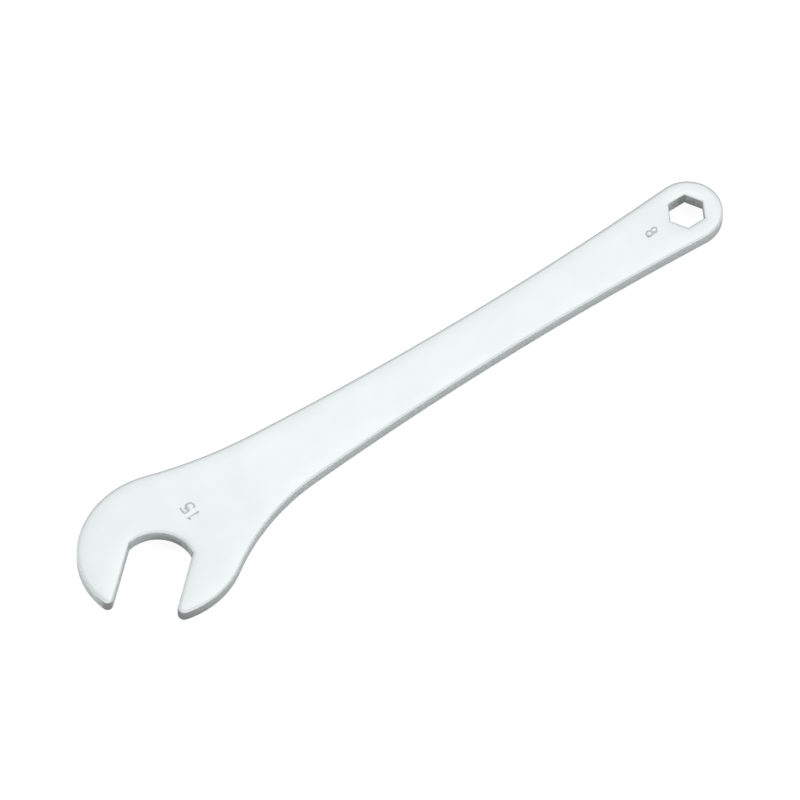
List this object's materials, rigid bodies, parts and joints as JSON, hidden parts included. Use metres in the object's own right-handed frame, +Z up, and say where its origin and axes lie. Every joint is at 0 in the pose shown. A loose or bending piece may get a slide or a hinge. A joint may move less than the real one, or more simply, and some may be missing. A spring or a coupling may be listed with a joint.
{
  "type": "pedal wrench",
  "caption": "Flat pedal wrench: an angled open jaw at one end of a waisted handle, and a hexagon hole in the round end.",
  "frame": {"origin": "centre of the open jaw, on the underside", "axes": "+X runs along the handle from the jaw to the hexagon, +Y is the side of the longer hook jaw, +Z goes up through the plate"},
  "size_m": [0.1848, 0.0386, 0.004],
  "materials": {
    "plated_steel": "satin plated steel with a pearly sheen"
  },
  "bodies": {
    "root": {"wrench": "plated_steel"}
  },
  "joints": []
}
